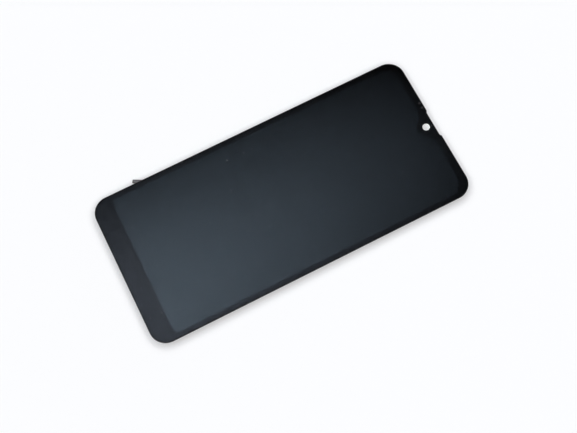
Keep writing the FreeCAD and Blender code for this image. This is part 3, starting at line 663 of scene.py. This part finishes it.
def dress_cad_nodes():
    """Gives every CAD node that stays its finish, by name."""
    ink = under_glass_material(
        "black ink",
        dark=(0.0007, 0.0006, 0.0007),
        light=(0.0011, 0.001, 0.001),
        shine=INK_SHINE,
        tint=WHITE,
    )
    sensor_ink = under_glass_material(
        "sensor ink",
        dark=(0.018, 0.016, 0.017),
        light=(0.024, 0.021, 0.022),
        shine=INK_SHINE,
        tint=WHITE,
    )
    polarizer = under_glass_material(
        "polarizer film",
        dark=(0.002, 0.0024, 0.003),
        light=(0.0026, 0.003, 0.0038),
        shine=FILM_SHINE,
        tint=FILM_TINT,
    )
    glass = thin_glass_material("thin display glass")
    resin = plain_material(
        "cured resin",
        dark=(0.3, 0.27, 0.2),
        light=(0.38, 0.35, 0.27),
        rough=0.3,
        spread=0.1,
        depth=5e-6,
        scale=1500.0,
    )
    moulding = plain_material(
        "black moulding",
        dark=(0.01, 0.01, 0.011),
        light=(0.018, 0.018, 0.019),
        rough=0.45,
        spread=0.15,
        depth=4e-6,
    )
    solder = plain_material(
        "tin solder",
        dark=(0.6, 0.6, 0.62),
        light=(0.72, 0.72, 0.74),
        rough=0.3,
        spread=0.15,
        depth=8e-6,
        scale=2500.0,
        metal=1.0,
    )
    gold = plain_material(
        "gold plate",
        dark=(0.7, 0.48, 0.2),
        light=(0.8, 0.58, 0.28),
        rough=0.28,
        spread=0.1,
        depth=4e-6,
        scale=5000.0,
        metal=1.0,
    )
    finishes = {
        "border_print": ink,
        "sensor_window_print": sensor_ink,
        "optical_adhesive": clear_film_material(
            "optical glue",
            dark=(0.94, 0.94, 0.9),
            light=(0.98, 0.98, 0.95),
            cover=0.0,
        ),
        "front_polarizer": polarizer,
        "rear_polarizer": polarizer,
        "colour_filter_glass": glass,
        "tft_glass": glass,
        "cell_seal": resin,
        "ledge_sealant": resin,
        "liquid_crystal": clear_film_material(
            "liquid crystal",
            dark=(0.48, 0.48, 0.45),
            light=(0.54, 0.54, 0.52),
            cover=0.1,
        ),
        "driver_chip": plain_material(
            "bare silicon",
            dark=(0.05, 0.055, 0.07),
            light=(0.08, 0.085, 0.1),
            rough=0.2,
            spread=0.05,
            depth=1e-6,
        ),
        "upper_prism_film": clear_film_material(
            "prism film",
            dark=(0.88, 0.9, 0.91),
            light=(0.94, 0.95, 0.96),
            cover=0.35,
        ),
        "lower_prism_film": clear_film_material(
            "lower prism film",
            dark=(0.86, 0.88, 0.9),
            light=(0.92, 0.93, 0.94),
            cover=0.35,
        ),
        "diffuser_film": plain_material(
            "milky film",
            dark=(0.75, 0.76, 0.77),
            light=(0.82, 0.83, 0.84),
            rough=0.5,
            spread=0.1,
            depth=2e-6,
        ),
        "light_guide": thin_glass_material("clear acrylic"),
        "reflector_film": sheet_metal_material(
            "silvered film",
            dark=(0.85, 0.86, 0.87),
            light=(0.92, 0.92, 0.93),
            rough=0.12,
            depth=FILM_ROLLING_DEPTH,
        ),
        "plastic_frame": moulding,
        "rim_tape": plain_material(
            "black tape",
            dark=(0.008, 0.008, 0.008),
            light=(0.013, 0.013, 0.013),
            rough=0.55,
            spread=0.1,
            depth=5e-6,
            scale=2500.0,
        ),
        "back_tray": sheet_metal_material(
            "rolled steel",
            dark=(0.5, 0.5, 0.505),
            light=(0.62, 0.62, 0.625),
            rough=0.27,
        ),
        "connector_stiffener": sheet_metal_material(
            "dull steel",
            dark=(0.19, 0.18, 0.178),
            light=(0.24, 0.226, 0.222),
            rough=0.38,
        ),
        "main_flex": flex_material(),
        "led_strip_flex": plain_material(
            "white coverlay",
            dark=(0.6, 0.6, 0.57),
            light=(0.7, 0.7, 0.67),
            rough=0.4,
            spread=0.1,
            depth=3e-6,
        ),
        "backlight_leds": plain_material(
            "white LED body",
            dark=(0.7, 0.68, 0.6),
            light=(0.8, 0.78, 0.7),
            rough=0.4,
            spread=0.1,
            depth=3e-6,
        ),
        "led_solder": solder,
        "capacitor_ends": solder,
        "flex_adhesive": plain_material(
            "glue pad",
            dark=(0.05, 0.05, 0.05),
            light=(0.08, 0.08, 0.08),
            rough=0.5,
            spread=0.1,
            depth=1e-5,
        ),
        "connector_housing": moulding,
        "connector_contacts": gold,
        "connector_clips": gold,
        "test_pads": gold,
        "memory_chip": plain_material(
            "epoxy package",
            dark=(0.012, 0.012, 0.013),
            light=(0.02, 0.02, 0.021),
            rough=0.55,
            spread=0.1,
            depth=6e-6,
        ),
        "capacitor_bodies": plain_material(
            "fired ceramic",
            dark=(0.25, 0.16, 0.09),
            light=(0.33, 0.22, 0.13),
            rough=0.5,
            spread=0.1,
            depth=8e-6,
        ),
        "ground_tape": cloth_material(),
    }
    for name, material in finishes.items():
        dress(name, material)


def soft_light(tree, parts, middle, spread, lean, strength, trim):
    """The strength of a soft light by direction: a bell round its middle, less a trim."""
    height = calc(tree, "MAXIMUM", parts["Z"], LOWEST_LIGHT)
    aside = calc(tree, "SUBTRACT", calc(tree, "DIVIDE", parts["X"], height), middle[0])
    ahead = calc(tree, "SUBTRACT", calc(tree, "DIVIDE", parts["Y"], height), middle[1])
    aside = calc(tree, "MULTIPLY_ADD", ahead, -lean, aside)
    aside = calc(tree, "POWER", calc(tree, "DIVIDE", aside, spread[0]), 2.0)
    ahead = calc(tree, "POWER", calc(tree, "DIVIDE", ahead, spread[1]), 2.0)
    far = calc(tree, "MULTIPLY", calc(tree, "ADD", aside, ahead), -0.5)
    bell = calc(tree, "MULTIPLY_ADD", calc(tree, "EXPONENT", far), strength, -trim)
    return calc(tree, "MAXIMUM", bell, 0.0)


def build_world():
    """Two soft lights overhead that fade across the ceiling, in a pale room seen as white."""
    world = bpy.data.worlds.new("studio")
    bpy.context.scene.world = world
    world.use_nodes = True
    tree = world.node_tree
    tree.nodes.clear()
    way = tree.nodes.new("ShaderNodeTexCoord").outputs["Generated"]
    parts = node(tree, "ShaderNodeSeparateXYZ", None, {"Vector": way}).outputs
    height = parts["Z"]
    main = soft_light(
        tree,
        parts,
        middle=LIGHT_MIDDLE,
        spread=LIGHT_SPREAD,
        lean=LIGHT_LEAN,
        strength=LIGHT_STRENGTH,
        trim=LIGHT_TRIM,
    )
    second = soft_light(
        tree,
        parts,
        middle=SECOND_MIDDLE,
        spread=SECOND_SPREAD,
        lean=0.0,
        strength=SECOND_STRENGTH,
        trim=0.0,
    )
    above = calc(tree, "GREATER_THAN", height, LOWEST_LIGHT)
    overhead = calc(tree, "MULTIPLY", calc(tree, "ADD", main, second), above)
    foot = ramp(tree, height, *RING_FOOT, 0.0, RING_STRENGTH)
    top = ramp(tree, height, *RING_TOP, 1.0, 0.0)
    ring = calc(tree, "MULTIPLY", foot, top)
    horizon = ramp(tree, height, 0.0, HORIZON_TOP, HORIZON_STRENGTH, 0.0)
    around = calc(tree, "ADD", ring, horizon)
    lights = []
    for colour, strength in ((LIGHT_COLOUR, overhead), (WHITE, around), (WHITE, 1.0)):
        inputs = {"Color": colour, "Strength": strength}
        lights.append(node(tree, "ShaderNodeBackground", None, inputs))
    ceiling, room, white = lights
    lit = join_shaders(tree, "ShaderNodeAddShader", ceiling, room)
    seen = tree.nodes.new("ShaderNodeLightPath").outputs["Is Camera Ray"]
    shown = join_shaders(tree, "ShaderNodeMixShader", lit, white, seen)
    out = tree.nodes.new("ShaderNodeOutputWorld")
    tree.links.new(shown.outputs[0], out.inputs["Surface"])


def floor_material():
    """A matt floor that glows a little where it is seen, mirrored or looked at through glass."""
    material, tree = new_material("pale floor")
    cloud = noise(tree, object_coordinates(tree), FLOOR_PATCHES_PER_METRE, 2.0)
    shaded = tuple(part * FLOOR_SHADE for part in FLOOR_COLOUR)
    colour = blend_colour(tree, cloud, FLOOR_COLOUR, shaded)
    matt = node(tree, "ShaderNodeBsdfDiffuse", None, {"Color": colour})
    glow = node(tree, "ShaderNodeEmission", None, {"Color": WHITE})
    path = tree.nodes.new("ShaderNodeLightPath").outputs
    seen = calc(tree, "MAXIMUM", path["Is Camera Ray"], path["Is Glossy Ray"])
    seen = calc(tree, "MULTIPLY", seen, FLOOR_GLOW)
    through = calc(tree, "MULTIPLY", path["Is Transmission Ray"], FLOOR_GLOW_THROUGH_GLASS)
    tree.links.new(calc(tree, "MAXIMUM", seen, through), glow.inputs["Strength"])
    finish_material(tree, join_shaders(tree, "ShaderNodeAddShader", matt, glow))
    return material


def build_floor():
    """A plain square floor, just under the part."""
    height = cad_box[0].z - FLOOR_GAP
    half = FLOOR_SIZE / 2
    turns = ((-1, -1), (1, -1), (1, 1), (-1, 1))
    corners = [(x * half, y * half, height) for x, y in turns]
    data = bpy.data.meshes.new("floor")
    data.from_pydata(corners, [], [(0, 1, 2, 3)])
    data.materials.append(floor_material())
    floor = bpy.data.objects.new("floor", data)
    bpy.context.scene.collection.objects.link(floor)


def build_camera():
    """The camera that sees the part as the photo does."""
    data = bpy.data.cameras.new("camera")
    data.sensor_width = SENSOR_WIDTH
    data.lens = FOCAL_PIXELS * SENSOR_WIDTH / IMAGE_WIDTH
    data.clip_start = NEAREST_SEEN
    camera = bpy.data.objects.new("camera", data)
    camera.location = Vector((0, 0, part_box("cover_glass")[1].z)) + CAMERA_ABOVE_GLASS
    camera.rotation_euler = [math.radians(turn) for turn in CAMERA_TURN]
    bpy.context.scene.collection.objects.link(camera)
    bpy.context.scene.camera = camera


build_cover_glass()
dress_cad_nodes()
build_world()
build_floor()
build_camera()
bpy.context.scene.view_settings.view_transform = "Standard"
